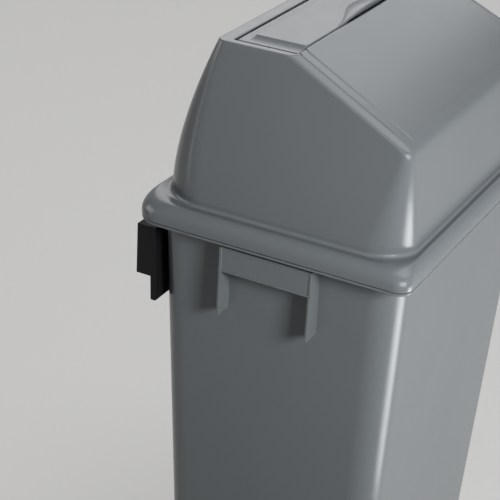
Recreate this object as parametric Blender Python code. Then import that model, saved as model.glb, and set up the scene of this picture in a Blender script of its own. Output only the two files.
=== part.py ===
"""Wall-hung waste bin: a tapered tub with end handles, a hood with a lift-up flap, and the rail it hangs on.

Metres, +Z up. +X runs along the wall and the front faces -Y. The origin lies on the wall, in the middle of
the rail's back face. Tub, hood and flap are drawn about the middle of the rim, level with the hood's lower edge.
"""

import math

import bmesh
import bpy
from mathutils import Matrix, Vector

# Rim: the outline that tub and hood share
RIM_LENGTH = 0.480
RIM_DEPTH = 0.330
RIM_CORNER_RADIUS = 0.035
RIM_WALL_GAP = 0.008
SEAT_GAP = 0.0003
MERGE_DISTANCE = 0.000001
ARC_STEPS = 8

# Tub
TUB_HEIGHT = 0.552
TUB_WALL = 0.003
TUB_END_OVERHANG = 0.026
TUB_END_DRAFT = 0.046
TUB_SIDE_DRAFT = 0.035
TUB_CORNER_RADIUS = 0.033
TUB_CORNER_DRAFT = 0.006
TUB_BASE_RADIUS = 0.010
TUB_FLOOR_RADIUS = 0.008
FOOT_WIDTH = 0.014
FOOT_RECESS = 0.005
FILLET_STEPS = 4

# Rim of the tub: a flange, its turned-down lip, and the bead that carries the hood
FLANGE_TOP = 0.010
FLANGE_SHOULDER = 0.004
LIP_GAP = 0.0017
LIP_WALL = 0.003
BEAD_HEIGHT = 0.0047
BEAD_SETBACK = 0.0005

# Handles moulded on the ends of the tub
HANDLE_WIDTH = 0.108
HANDLE_SETBACK = 0.009
HANDLE_WALL = 0.003
HANDLE_BELOW_BEAD = 0.0026
HANDLE_PANEL_HEIGHT = 0.0284
HANDLE_FIN_HEIGHT = 0.0834

# Hood
HOOD_WALL = 0.0028
HOOD_TOP = 0.208
HOOD_CREASE = 0.023
HOOD_RIM_EDGE = 0.006
HOOD_END_LEDGE = 0.0245
HOOD_FRONT_LEDGE = 0.018
HOOD_REAR_LEDGE = 0.028
HOOD_END_LEAN = 0.0265
HOOD_REAR_LEAN = 0.0422
HOOD_CURL_POWER = 1.65
HOOD_FRONT_LEAN = 0.041
HOOD_FRONT_TOP = 0.1395
HOOD_FRONT_ROUND = 0.004
HOOD_RIDGE_BACK = 0.0012
HOOD_BASE_RADIUS = 0.022
HOOD_TOP_REAR_RADIUS = 0.012
HOOD_TOP_FRONT_RADIUS = 0.0085
HOOD_EDGE_RADIUS = 0.005
RIM_ROUND_STEPS = 5
WALL_ROWS = 5
SLOPE_ROWS = 5

# Raised panel on the hood's sloping front
PANEL_END_MARGIN = 0.0265
PANEL_LOW_MARGIN = 0.007
PANEL_RISE = 0.002
PANEL_STEP = 0.004

# Mouth in the top of the hood
MOUTH_END_FRAME = 0.009
MOUTH_REAR_FRAME = 0.016
MOUTH_FRONT_FRAME = 0.002
MOUTH_FRAME_THICKNESS = 0.005
MOUTH_CORNER_RADIUS = 0.003
MOUTH_SEAT = 0.005

# Hinge pins and the barrel that turns on them
PIN_RADIUS = 0.002
PIN_CLEARANCE = 0.00015
PIN_IN_FLAP = 0.010
PIN_IN_HOOD = 0.006
PIN_BOSS_WALL = 0.0025
PIN_BOSS_FLOOR = 0.0012
PIN_STEPS = 16
BARREL_WALL = 0.0033
BARREL_CLEARANCE = 0.002

# Flap
FLAP_END_GAP = 0.002
FLAP_REAR_GAP = 0.0022
FLAP_FRONT_GAP = 0.001
FLAP_DROP = 0.001
FLAP_SKIN = 0.0025
FLAP_SKIRT = 0.003
FLAP_RISE = 0.0036
FLAP_STEP = 0.003
FLAP_END_MARGIN = 0.0165
FLAP_REAR_MARGIN = 0.0108
FINGER_LIP_RISE = 0.0062
FINGER_LIP_LENGTH = 0.004
FINGER_LIP_FLARE = 0.093
FINGER_LIP_DEPTH_SHARE = 0.38
FINGER_LIP_EDGE = 0.002
FINGER_SLOT_SHARE = 0.35
FINGER_LIP_STEPS = 6

# Wall rail
RAIL_LENGTH = 0.420
RAIL_HEIGHT = 0.063
RAIL_BELOW_RIM = 0.019
RAIL_PLATE = 0.0073
RAIL_PLATE_DROP = 0.030
RAIL_TIP_RADIUS = 0.002
RAIL_WALL = 0.003
RAIL_RIB = 0.006
HOOK_LENGTH = 0.380
HOOK_END_RELIEF = 0.001
HOOK_THICKNESS = 0.005
HOOK_FRONT_CLEARANCE = 0.0032
HOOK_BACK_CLEARANCE = 0.0023

# Screws, washers and plugs
SCREW_COUNT = 4
SCREW_FROM_RAIL_END = 0.105
SCREW_RADIUS = 0.0025
SCREW_HEAD_RADIUS = 0.0048
SCREW_HEAD_HEIGHT = 0.0034
SCREW_IN_WALL = 0.044
SCREW_CLEARANCE = 0.0003
SCREW_SEAT = 0.010
SCREW_BOSS_WALL = 0.004
WASHER_RADIUS = 0.007
WASHER_THICKNESS = 0.0012
PLUG_LENGTH = 0.040
PLUG_WALL = 0.0015
PLUG_COLLAR = 0.0012
TURNED_STEPS = 16

# Worked out from the sizes above
TUB_SIDE_OVERHANG = HOOD_WALL + LIP_GAP + LIP_WALL + HOOK_BACK_CLEARANCE + HOOK_THICKNESS + HOOK_FRONT_CLEARANCE
FLANGE_UNDER = FLANGE_TOP - TUB_WALL
BEAD_TOP = -SEAT_GAP
BEAD_BOTTOM = BEAD_TOP - BEAD_HEIGHT
RIM_MIDDLE_Y = -(RIM_WALL_GAP + RIM_DEPTH / 2)
RIM_Z = RAIL_HEIGHT / 2 + RAIL_BELOW_RIM
BARREL_RADIUS = PIN_RADIUS + PIN_CLEARANCE + BARREL_WALL
MOUTH_DEPTH = FLAP_DROP + 2 * BARREL_RADIUS + BARREL_CLEARANCE
MOUTH_HALF = RIM_LENGTH / 2 - HOOD_END_LEDGE - HOOD_END_LEAN - MOUTH_END_FRAME
MOUTH_REAR = RIM_DEPTH / 2 - HOOD_REAR_LEDGE - HOOD_REAR_LEAN - MOUTH_REAR_FRAME
MOUTH_FRONT = HOOD_RIDGE_BACK + MOUTH_FRONT_FRAME
FLAP_HALF = MOUTH_HALF - FLAP_END_GAP
FLAP_FRONT = MOUTH_FRONT + FLAP_FRONT_GAP
PLATEAU_REAR = MOUTH_REAR - FLAP_REAR_GAP - FLAP_REAR_MARGIN
FINGER_LIP_DEPTH = FINGER_LIP_DEPTH_SHARE * (PLATEAU_REAR - FLAP_STEP - FLAP_FRONT)
HINGE_Y = MOUTH_REAR - FLAP_REAR_GAP - BARREL_RADIUS
HINGE_Z = HOOD_TOP - FLAP_DROP - BARREL_RADIUS
SCREW_SPACING = (RAIL_LENGTH - 2 * SCREW_FROM_RAIL_END) / (SCREW_COUNT - 1)
SCREW_PLACES = [i * SCREW_SPACING + SCREW_FROM_RAIL_END - RAIL_LENGTH / 2 for i in range(SCREW_COUNT)]

GREY = (0.135, 0.149, 0.158)
BLACK = (0.008, 0.008, 0.009)
ZINC = (0.56, 0.57, 0.58)
PLUG_GREY = (0.30, 0.31, 0.32)


def clear_scene():
    """Empties the file before the model is built."""
    for old in list(bpy.data.objects):
        bpy.data.objects.remove(old, do_unlink=True)


def make_material(name, colour, roughness, metallic):
    """A plain finish for one sub-part."""
    made = bpy.data.materials.new(name)
    made.use_nodes = True
    shader = made.node_tree.nodes["Principled BSDF"]
    shader.inputs["Base Color"].default_value = (*colour, 1.0)
    shader.inputs["Roughness"].default_value = roughness
    shader.inputs["Metallic"].default_value = metallic
    return made


def make_object(name, bm, finish=None, parent=None, place=(0.0, 0.0, 0.0)):
    """Puts a finished bmesh into the scene, with its faces pointing out and its round parts smooth."""
    bmesh.ops.remove_doubles(bm, verts=bm.verts[:], dist=MERGE_DISTANCE)
    bmesh.ops.recalc_face_normals(bm, faces=bm.faces[:])
    mesh = bpy.data.meshes.new(name)
    bm.to_mesh(mesh)
    bm.free()
    mesh.shade_smooth()
    mesh.set_sharp_from_angle(angle=math.radians(35))
    made = bpy.data.objects.new(name, mesh)
    bpy.context.scene.collection.objects.link(made)
    made.parent = parent
    made.location = place
    if finish:
        mesh.materials.append(finish)
    return made


def combine(target, tool_name, bm, operation, parent=None):
    """Cuts or joins the shapes in bm into target with a Boolean modifier."""
    tool = make_object(tool_name, bm, parent=parent)
    tool.hide_render = True
    tool.display_type = "WIRE"
    modifier = target.modifiers.new(tool_name, "BOOLEAN")
    modifier.operation = operation
    modifier.solver = "EXACT"
    modifier.object = tool


def blend(low, high, share):
    """The value a share of the way from low to high."""
    return low + (high - low) * share


def smooth(share):
    """0 below 0, 1 above 1, and a smooth rise between."""
    share = min(max(share, 0.0), 1.0)
    return share * share * (3.0 - 2.0 * share)


def rounded_loop(half, front, rear, front_radius, rear_radius, z, front_stops=()):
    """A level rounded rectangle, anticlockwise from above, with extra points along its front edge."""
    corners = (
        (half - front_radius, front + front_radius, front_radius, -90),
        (half - rear_radius, rear - rear_radius, rear_radius, 0),
        (rear_radius - half, rear - rear_radius, rear_radius, 90),
        (front_radius - half, front + front_radius, front_radius, 180),
    )
    loop = []
    for x, y, radius, start in corners:
        for step in range(ARC_STEPS + 1):
            turn = math.radians(start + 90 * step / ARC_STEPS)
            loop.append(Vector((x + radius * math.cos(turn), y + radius * math.sin(turn), z)))
    loop += [Vector((x, front, z)) for x in front_stops]
    return loop


def skin(bm, rows, around=False):
    """Joins loops of equally many points, in order, and back to the first one if around is set."""
    made = [[bm.verts.new(point) for point in row] for row in rows]
    pairs = list(zip(made, made[1:]))
    if around:
        pairs.append((made[-1], made[0]))
    for low, high in pairs:
        for i in range(len(low)):
            j = (i + 1) % len(low)
            bm.faces.new((low[i], low[j], high[j], high[i]))
    return made


def add_box(bm, low, high):
    """An upright box between two corners."""
    middle = (Vector(low) + Vector(high)) / 2
    size = Vector(high) - Vector(low)
    matrix = Matrix.Translation(middle) @ Matrix.Diagonal((*size, 1.0))
    bmesh.ops.create_cube(bm, size=1.0, matrix=matrix)


def add_turned(bm, profile, steps, matrix, ring=False):
    """A profile of (radius, height) points spun about its own Z axis, then placed by matrix."""
    part = bmesh.new()
    verts = [part.verts.new((radius, 0.0, height)) for radius, height in profile]
    edges = [part.edges.new(pair) for pair in zip(verts, verts[1:])]
    if ring:
        edges.append(part.edges.new((verts[-1], verts[0])))
    bmesh.ops.spin(part, geom=verts + edges, cent=(0, 0, 0), axis=(0, 0, 1), angle=math.tau, steps=steps,
                   use_merge=True)
    bmesh.ops.remove_doubles(part, verts=part.verts[:], dist=MERGE_DISTANCE)
    bmesh.ops.recalc_face_normals(part, faces=part.faces[:])
    bmesh.ops.transform(part, matrix=matrix, verts=part.verts[:])
    carrier = bpy.data.meshes.new("turned")
    part.to_mesh(carrier)
    part.free()
    bm.from_mesh(carrier)
    bpy.data.meshes.remove(carrier)


def along_x(x, y, z):
    """Lays a turned shape's axis along +X, starting at a point."""
    return Matrix.Translation((x, y, z)) @ Matrix.Rotation(math.pi / 2, 4, "Y")


def along_y(x, y, z):
    """Lays a turned shape's axis along +Y, starting at a point."""
    return Matrix.Translation((x, y, z)) @ Matrix.Rotation(-math.pi / 2, 4, "X")


def cylinder_profile(radius, length):
    """Outline of a plain cylinder for add_turned."""
    return [(0.0, 0.0), (radius, 0.0), (radius, length), (0.0, length)]


def rim_loop(inset, z):
    """The shared rim outline, drawn in by inset all round."""
    half_depth = RIM_DEPTH / 2 - inset
    radius = RIM_CORNER_RADIUS - inset
    return rounded_loop(RIM_LENGTH / 2 - inset, -half_depth, half_depth, radius, radius, z)


def tub_half_length(z):
    """Half the tub's outer length at a height."""
    return RIM_LENGTH / 2 - TUB_END_OVERHANG + TUB_END_DRAFT * z


def tub_rear(z):
    """How far the tub's outer rear face lies behind the rim's middle at a height."""
    return RIM_DEPTH / 2 - TUB_SIDE_OVERHANG + TUB_SIDE_DRAFT * z


def tub_loop(inset, z):
    """The tub's tapered outline at a height, drawn in by inset."""
    half_depth = tub_rear(z) - inset
    radius = TUB_CORNER_RADIUS + TUB_CORNER_DRAFT * z - inset
    return rounded_loop(tub_half_length(z) - inset, -half_depth, half_depth, radius, radius, z)


def quarter(radius, steps):
    """Pairs of (inset, rise) round a quarter circle, from its flat start to its upright end."""
    turns = [math.pi / 2 * step / steps for step in range(steps + 1)]
    return [(radius * (1 - math.sin(turn)), radius * (1 - math.cos(turn))) for turn in turns]


def add_handle(bm, side):
    """A panel between two fins that stand out of the tub's end. The hand reaches up behind the panel."""
    out = RIM_LENGTH / 2 - HANDLE_SETBACK
    top = BEAD_BOTTOM - HANDLE_BELOW_BEAD
    low = top - HANDLE_FIN_HEIGHT
    columns = (out, out - HANDLE_WALL, None)
    inner = HANDLE_WIDTH / 2 - HANDLE_WALL
    across = (-HANDLE_WIDTH / 2, -inner, inner, HANDLE_WIDTH / 2)
    levels = (low, top - HANDLE_PANEL_HEIGHT, top)
    filled = {(i, j, k) for i in (0, 1) for j in (0, 2) for k in (0, 1)} | {(0, 1, 1)}
    made = {}

    def corner(i, j, k):
        if (i, j, k) not in made:
            x = columns[i] if i < 2 else tub_half_length(levels[k]) - TUB_WALL / 2
            made[i, j, k] = bm.verts.new((side * x, across[j], levels[k]))
        return made[i, j, k]

    for i, j, k in filled:
        for axis in range(3):
            for step in (0, 1):
                beside = [i, j, k]
                beside[axis] += 1 if step else -1
                if tuple(beside) in filled:
                    continue
                base = [i, j, k]
                base[axis] += step
                first, second = [n for n in range(3) if n != axis]
                ring = []
                for along, up in ((0, 0), (1, 0), (1, 1), (0, 1)):
                    spot = list(base)
                    spot[first] += along
                    spot[second] += up
                    ring.append(corner(*spot))
                bm.faces.new(ring)


def build_tub(finish, parent):
    """The tub: one moulded wall from its recessed foot up over the rim and down to the floor inside."""
    foot = -TUB_HEIGHT
    floor = foot + FOOT_RECESS + TUB_WALL
    lip_out = HOOD_WALL + LIP_GAP
    lip_in = lip_out + LIP_WALL
    rows = [tub_loop(TUB_BASE_RADIUS + FOOT_WIDTH, foot + FOOT_RECESS)]
    rows.append(tub_loop(TUB_BASE_RADIUS + FOOT_WIDTH, foot))
    rows += [tub_loop(inset, foot + rise) for inset, rise in quarter(TUB_BASE_RADIUS, FILLET_STEPS)]
    rows.append(tub_loop(0.0, FLANGE_UNDER))
    rows.append(rim_loop(lip_in, FLANGE_UNDER))
    rows.append(rim_loop(lip_in, BEAD_BOTTOM))
    rows.append(rim_loop(BEAD_SETBACK, BEAD_BOTTOM))
    rows.append(rim_loop(BEAD_SETBACK, BEAD_TOP))
    rows.append(rim_loop(lip_out, BEAD_TOP))
    shoulder = reversed(quarter(FLANGE_SHOULDER, FILLET_STEPS))
    rows += [rim_loop(lip_out + inset, FLANGE_TOP - drop) for inset, drop in shoulder]
    rows.append(tub_loop(TUB_WALL, FLANGE_TOP))
    inside = reversed(quarter(TUB_FLOOR_RADIUS, FILLET_STEPS))
    rows += [tub_loop(TUB_WALL + inset, floor + rise) for inset, rise in inside]
    bm = bmesh.new()
    made = skin(bm, rows)
    bm.faces.new(list(reversed(made[0])))
    bm.faces.new(made[-1])
    tub = make_object("bin_body", bm, finish, parent)
    handles = bmesh.new()
    add_handle(handles, -1)
    add_handle(handles, 1)
    combine(tub, "handle_shapes", handles, "UNION", parent)


def smooth_max(first, second, width):
    """The larger of two values, with the change from one to the other rounded over about width."""
    return (first + second + math.hypot(first - second, 2 * width)) / 2


def hood_curl(z):
    """How far in the hood's wall has curled at a height: 0 where it leaves the rim, 1 at the top."""
    return ((z - HOOD_CREASE) / (HOOD_TOP - HOOD_CREASE)) ** HOOD_CURL_POWER if z > HOOD_CREASE else 0.0


def hood_half_length(z):
    """Half the hood's outer length at a height."""
    return RIM_LENGTH / 2 - HOOD_END_LEDGE - HOOD_END_LEAN * hood_curl(z)


def hood_slope():
    """Fall of the sloping front, as height over depth."""
    wall_top = HOOD_FRONT_LEDGE - RIM_DEPTH / 2 + HOOD_FRONT_LEAN * (HOOD_FRONT_TOP - HOOD_CREASE)
    return (HOOD_TOP - HOOD_FRONT_TOP) / (HOOD_RIDGE_BACK - wall_top)


def hood_loop(inset, z, rounding=0.0):
    """The hood's outline at a height: wall curled in at ends and rear, upright then sloping at the front."""
    fall = hood_slope()
    wall = HOOD_FRONT_LEDGE - RIM_DEPTH / 2 + HOOD_FRONT_LEAN * (z - HOOD_CREASE) + inset
    slope = HOOD_RIDGE_BACK - (HOOD_TOP - z) / fall + inset * math.hypot(1.0, 1.0 / fall)
    half = hood_half_length(z) - inset - rounding
    rear = RIM_DEPTH / 2 - HOOD_REAR_LEDGE - HOOD_REAR_LEAN * hood_curl(z) - inset - rounding
    front_share = min((z - HOOD_CREASE) / (HOOD_FRONT_TOP - HOOD_CREASE), 1.0)
    rear_share = (z - HOOD_CREASE) / (HOOD_TOP - HOOD_CREASE)
    front_radius = max(blend(HOOD_BASE_RADIUS, HOOD_TOP_FRONT_RADIUS, front_share) - inset, HOOD_WALL)
    rear_radius = max(blend(HOOD_BASE_RADIUS, HOOD_TOP_REAR_RADIUS, rear_share) - inset - rounding, HOOD_WALL)
    front = smooth_max(wall, slope, HOOD_FRONT_ROUND)
    return rounded_loop(half, front, rear, front_radius, rear_radius, z, panel_stops(z))


def panel_stops(z):
    """Places along the front edge where the raised panel starts and ends, set in from the hood's ends."""
    half = hood_half_length(z) - PANEL_END_MARGIN
    return (-half - PANEL_STEP, -half, half, half + PANEL_STEP)


def raise_panel(loop, forward=True):
    """Lifts the points of the raised panel off the slope, square to it."""
    angle = math.atan(hood_slope())
    lift = Vector((0.0, -PANEL_RISE * math.sin(angle) if forward else 0.0, PANEL_RISE * math.cos(angle)))
    for i in (-3, -2):
        loop[i] = loop[i] + lift
    return loop


def hood_rim(inset):
    """Loops of the hood's rim from its lower edge, over its round shoulder, to the foot of the wall."""
    crease = HOOD_CREASE - inset
    foot = hood_loop(inset, crease)
    edge = [Vector(point) for point in rim_loop(inset, 0.0)]
    edge += [Vector((x, inset - RIM_DEPTH / 2, 0.0)) for x in panel_stops(crease)]
    rows = [edge]
    for step in range(RIM_ROUND_STEPS):
        turn = math.pi / 2 * step / RIM_ROUND_STEPS
        drawn_in = 1 - math.cos(turn)
        z = HOOD_RIM_EDGE + (crease - HOOD_RIM_EDGE) * math.sin(turn)
        rows.append([Vector((*a.lerp(b, drawn_in).xy, z)) for a, b in zip(edge, foot)])
    return rows


def mouth_loop(inset, z):
    """The mouth in the hood's top, drawn in by inset."""
    half = MOUTH_HALF - inset
    return rounded_loop(half, MOUTH_FRONT + inset, MOUTH_REAR - inset, MOUTH_CORNER_RADIUS, MOUTH_CORNER_RADIUS, z,
                        panel_stops(HOOD_TOP))


def build_hood(finish, parent):
    """The hood: outer skin from the rim up to the mouth, the mouth's seat, and the inner skin back down."""
    panel_low = HOOD_FRONT_TOP + PANEL_LOW_MARGIN
    edge_low = HOOD_TOP - HOOD_EDGE_RADIUS
    seat = HOOD_TOP - MOUTH_DEPTH
    under_frame = HOOD_TOP - MOUTH_FRAME_THICKNESS
    wall_heights = [blend(HOOD_CREASE, HOOD_FRONT_TOP, i / WALL_ROWS) for i in range(WALL_ROWS + 1)]
    slope_heights = [blend(panel_low, edge_low, i / SLOPE_ROWS) for i in range(SLOPE_ROWS)]
    rows = hood_rim(0.0)
    rows += [hood_loop(0.0, z) for z in wall_heights]
    rows.append(hood_loop(0.0, panel_low - PANEL_STEP))
    rows += [raise_panel(hood_loop(0.0, z)) for z in slope_heights]
    edge = reversed(quarter(HOOD_EDGE_RADIUS, FILLET_STEPS))
    rows += [raise_panel(hood_loop(0.0, HOOD_TOP - drop, inset)) for inset, drop in edge]
    rows.append(raise_panel(mouth_loop(0.0, HOOD_TOP), forward=False))
    rows.append(mouth_loop(0.0, seat))
    rows.append(mouth_loop(MOUTH_SEAT, seat))
    rows.append(mouth_loop(MOUTH_SEAT, seat - HOOD_WALL))
    rows.append(mouth_loop(-HOOD_WALL, seat - HOOD_WALL))
    rows.append(mouth_loop(-HOOD_WALL, under_frame))
    rows.append(raise_panel(hood_loop(HOOD_WALL, under_frame)))
    rows += [raise_panel(hood_loop(HOOD_WALL, z)) for z in reversed(slope_heights)]
    rows.append(hood_loop(HOOD_WALL, panel_low - PANEL_STEP))
    rows += [hood_loop(HOOD_WALL, z) for z in reversed(wall_heights[1:])]
    rows.append(hood_loop(HOOD_WALL, HOOD_CREASE - HOOD_WALL))
    rows += reversed(hood_rim(HOOD_WALL))
    bm = bmesh.new()
    skin(bm, rows, around=True)
    hood = make_object("hood", bm, finish, parent)
    bore = PIN_RADIUS + PIN_CLEARANCE
    bosses = bmesh.new()
    bores = bmesh.new()
    wall_middle = MOUTH_HALF + HOOD_WALL / 2
    boss_length = PIN_IN_HOOD + PIN_BOSS_FLOOR - HOOD_WALL / 2
    for side in (-1, 1):
        boss_start = wall_middle if side > 0 else -wall_middle - boss_length
        bore_start = FLAP_HALF if side > 0 else -MOUTH_HALF - PIN_IN_HOOD
        bore_length = PIN_IN_HOOD + FLAP_END_GAP
        add_turned(bosses, cylinder_profile(bore + PIN_BOSS_WALL, boss_length), PIN_STEPS,
                   along_x(boss_start, HINGE_Y, HINGE_Z))
        add_turned(bores, cylinder_profile(bore, bore_length), PIN_STEPS, along_x(bore_start, HINGE_Y, HINGE_Z))
    combine(hood, "pin_boss_shapes", bosses, "UNION", parent)
    combine(hood, "pin_bore_shapes", bores, "DIFFERENCE", parent)


def build_pins(finish, parent):
    """Two steel pins, pressed into the hood and standing into the flap's barrel."""
    inner = FLAP_HALF - PIN_IN_FLAP + SEAT_GAP
    outer = MOUTH_HALF + PIN_IN_HOOD - SEAT_GAP
    for name, start in (("left", -outer), ("right", inner)):
        bm = bmesh.new()
        add_turned(bm, cylinder_profile(PIN_RADIUS, outer - inner), PIN_STEPS, along_x(start, 0.0, 0.0))
        make_object("flap_hinge_pin_" + name, bm, finish, parent, (0.0, HINGE_Y, HINGE_Z))


def flap_lip(x):
    """Height of the finger lip at a place along the flap, as a share of its full rise."""
    return 1 - smooth((abs(x) - FINGER_LIP_LENGTH / 2) / FINGER_LIP_FLARE)


def flap_top(x, y):
    """The flap's upper face: a margin, the plateau that rises from it, and the finger lip at the front."""
    end = FLAP_HALF - FLAP_END_MARGIN
    plateau = smooth((end - abs(x)) / FLAP_STEP) * smooth((PLATEAU_REAR - y) / FLAP_STEP)
    lip = flap_lip(x) * (1 - smooth((y - FLAP_FRONT) / FINGER_LIP_DEPTH))
    return HOOD_TOP - FLAP_DROP + FLAP_RISE * plateau + FINGER_LIP_RISE * lip


def flap_section(x, solid):
    """The flap's closed outline at a place along it: front skirt, upper face, hinge barrel, underside."""
    inside = FLAP_FRONT + FLAP_SKIRT
    skirt = HOOD_TOP - MOUTH_DEPTH + SEAT_GAP
    cut_away = smooth(flap_lip(x) / FINGER_SLOT_SHARE)
    front_low = blend(skirt, flap_top(x, FLAP_FRONT) - FINGER_LIP_EDGE, cut_away)
    places = [FLAP_FRONT + FINGER_LIP_DEPTH * i / FINGER_LIP_STEPS for i in range(FINGER_LIP_STEPS + 1)]
    places += [PLATEAU_REAR - FLAP_STEP, PLATEAU_REAR]
    outline = [(FLAP_FRONT, front_low)]
    outline += [(y, flap_top(x, y)) for y in places]
    for degrees in range(90, -151, -30):
        turn = math.radians(degrees)
        outline.append((HINGE_Y + BARREL_RADIUS * math.cos(turn), HINGE_Z + BARREL_RADIUS * math.sin(turn)))
    inner = [HINGE_Y - BARREL_RADIUS - FLAP_SKIN]
    inner += [y for y in reversed(places[1:]) if inside < y < inner[0]]
    inner.append(inside)
    outline += [(y, skirt if solid else flap_top(x, y) - FLAP_SKIN) for y in inner]
    outline.append((inside, front_low if not solid else skirt))
    return [Vector((x, y - HINGE_Y, z - HINGE_Z)) for y, z in outline]


def build_flap(finish, parent):
    """The flap: sections carried along the hinge, closed by its end skirts and bored for the pins."""
    plateau_end = FLAP_HALF - FLAP_END_MARGIN
    lip_half = FINGER_LIP_LENGTH / 2
    stations = [(FLAP_HALF, True), (FLAP_HALF - FLAP_SKIRT, True), (FLAP_HALF - FLAP_SKIRT - SEAT_GAP, False)]
    stations += [(plateau_end, False), (plateau_end - FLAP_STEP, False)]
    stations += [(lip_half + FINGER_LIP_FLARE * i / FINGER_LIP_STEPS, False) for i in range(FINGER_LIP_STEPS, -1, -1)]
    stations += [(-x, solid) for x, solid in reversed(stations)]
    bm = bmesh.new()
    made = skin(bm, [flap_section(x, solid) for x, solid in stations])
    bm.faces.new(made[0])
    bm.faces.new(list(reversed(made[-1])))
    flap = make_object("flap", bm, finish, parent, (0.0, HINGE_Y, HINGE_Z))
    bores = bmesh.new()
    length = PIN_IN_FLAP + FLAP_END_GAP
    for start in (-FLAP_HALF - FLAP_END_GAP, FLAP_HALF - PIN_IN_FLAP):
        add_turned(bores, cylinder_profile(PIN_RADIUS + PIN_CLEARANCE, length), PIN_STEPS,
                   along_x(start, HINGE_Y, HINGE_Z))
    combine(flap, "barrel_bore_shapes", bores, "DIFFERENCE", parent)


def rail_face(z):
    """Where the rail's front face lies at a height: just behind the tub's rear face, with the same draft."""
    return RIM_MIDDLE_Y + tub_rear(z - RIM_Z) + HOOK_FRONT_CLEARANCE


def build_rail(finish):
    """The wall rail: block on the wall, plate against the tub and hook in the rim, cored out from behind."""
    top = RAIL_HEIGHT / 2
    low = -top
    tip = low - RAIL_PLATE_DROP
    hook = RIM_Z + FLANGE_UNDER - SEAT_GAP
    tip_middle = rail_face(tip) + RAIL_PLATE / 2
    tip_flat = RAIL_PLATE / 2 - RAIL_TIP_RADIUS
    profile = [(0.0, top), (0.0, low), (rail_face(low) + RAIL_PLATE, low)]
    for degrees in range(0, 181, 30):
        turn = math.radians(degrees)
        shift = tip_flat if degrees <= 90 else -tip_flat
        y = tip_middle + shift + RAIL_TIP_RADIUS * math.cos(turn)
        profile.append((y, tip + RAIL_TIP_RADIUS * (1 - math.sin(turn))))
    profile += [(rail_face(hook), hook), (rail_face(hook) + HOOK_THICKNESS, hook)]
    profile.append((rail_face(top) + HOOK_THICKNESS, top))
    bm = bmesh.new()
    ends = [[Vector((x, y, z)) for y, z in profile] for x in (-RAIL_LENGTH / 2, RAIL_LENGTH / 2)]
    made = skin(bm, ends)
    bm.faces.new(made[0])
    bm.faces.new(list(reversed(made[1])))
    rail = make_object("wall_rail", bm, finish)

    notches = bmesh.new()
    beyond = RAIL_PLATE
    for side in (-1, 1):
        xs = sorted((side * HOOK_LENGTH / 2, side * (RAIL_LENGTH / 2 + beyond)))
        floor = top - HOOK_END_RELIEF
        add_box(notches, (xs[0], rail_face(top) - beyond, floor), (xs[1], beyond, hook + beyond))
    combine(rail, "hook_notch_shapes", notches, "DIFFERENCE")

    hole = SCREW_RADIUS + SCREW_CLEARANCE
    sunk = WASHER_RADIUS + SCREW_CLEARANCE
    boss = sunk + SCREW_BOSS_WALL
    pockets = bmesh.new()
    edges = [boss if SCREW_COUNT % 2 else RAIL_RIB / 2]
    for x in [place for place in SCREW_PLACES if place > 0]:
        edges += [x - boss, x + boss]
    edges.append(RAIL_LENGTH / 2 - RAIL_WALL)
    depth = -rail_face(top) - RAIL_PLATE - RAIL_WALL
    for start, end in zip(edges[0::2], edges[1::2]):
        for side in (-1, 1):
            xs = sorted((side * start, side * end))
            add_box(pockets, (xs[0], -depth, low + RAIL_WALL), (xs[1], beyond, top - RAIL_WALL))
    combine(rail, "rail_pocket_shapes", pockets, "DIFFERENCE")

    holes = bmesh.new()
    front = -rail_face(low) + beyond
    step = front - SCREW_SEAT
    profile = [(0.0, 0.0), (sunk, 0.0), (sunk, step), (hole, step), (hole, front + beyond), (0.0, front + beyond)]
    for x in SCREW_PLACES:
        add_turned(holes, profile, TURNED_STEPS, along_y(x, -front, 0.0))
    combine(rail, "screw_hole_shapes", holes, "DIFFERENCE")


def build_fixings(steel, plastic):
    """Screws with washers in the rail's sunk holes, and the plugs that hold them in the wall."""
    seat = -SCREW_SEAT - SEAT_GAP
    head_seat = seat - WASHER_THICKNESS - SEAT_GAP
    length = SCREW_IN_WALL - head_seat
    tip = 2 * SCREW_RADIUS
    screw = [(0.0, -SCREW_HEAD_HEIGHT), (SCREW_HEAD_RADIUS * 0.72, -SCREW_HEAD_HEIGHT)]
    screw += [(SCREW_HEAD_RADIUS, -SCREW_HEAD_HEIGHT * 0.45), (SCREW_HEAD_RADIUS, 0.0), (SCREW_RADIUS, 0.0)]
    screw += [(SCREW_RADIUS, length - tip), (0.0, length)]
    hole = SCREW_RADIUS + SCREW_CLEARANCE
    washer = [(hole, 0.0), (WASHER_RADIUS, 0.0), (WASHER_RADIUS, WASHER_THICKNESS), (hole, WASHER_THICKNESS)]
    outer = hole + PLUG_WALL
    plug = [(hole, 0.0), (outer + PLUG_COLLAR, 0.0), (outer + PLUG_COLLAR, PLUG_COLLAR), (outer, PLUG_COLLAR)]
    plug += [(outer, PLUG_LENGTH * 0.8), (outer - PLUG_WALL / 2, PLUG_LENGTH), (hole, PLUG_LENGTH)]
    for number, x in enumerate(SCREW_PLACES, start=1):
        pieces = (
            ("wall_screw_", screw, head_seat, steel, False),
            ("screw_washer_", washer, seat - WASHER_THICKNESS, steel, True),
            ("wall_plug_", plug, SEAT_GAP, plastic, True),
        )
        for name, profile, y, finish, ring in pieces:
            bm = bmesh.new()
            add_turned(bm, profile, TURNED_STEPS, along_y(0.0, 0.0, 0.0), ring)
            make_object(name + str(number), bm, finish, place=(x, y, 0.0))


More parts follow.
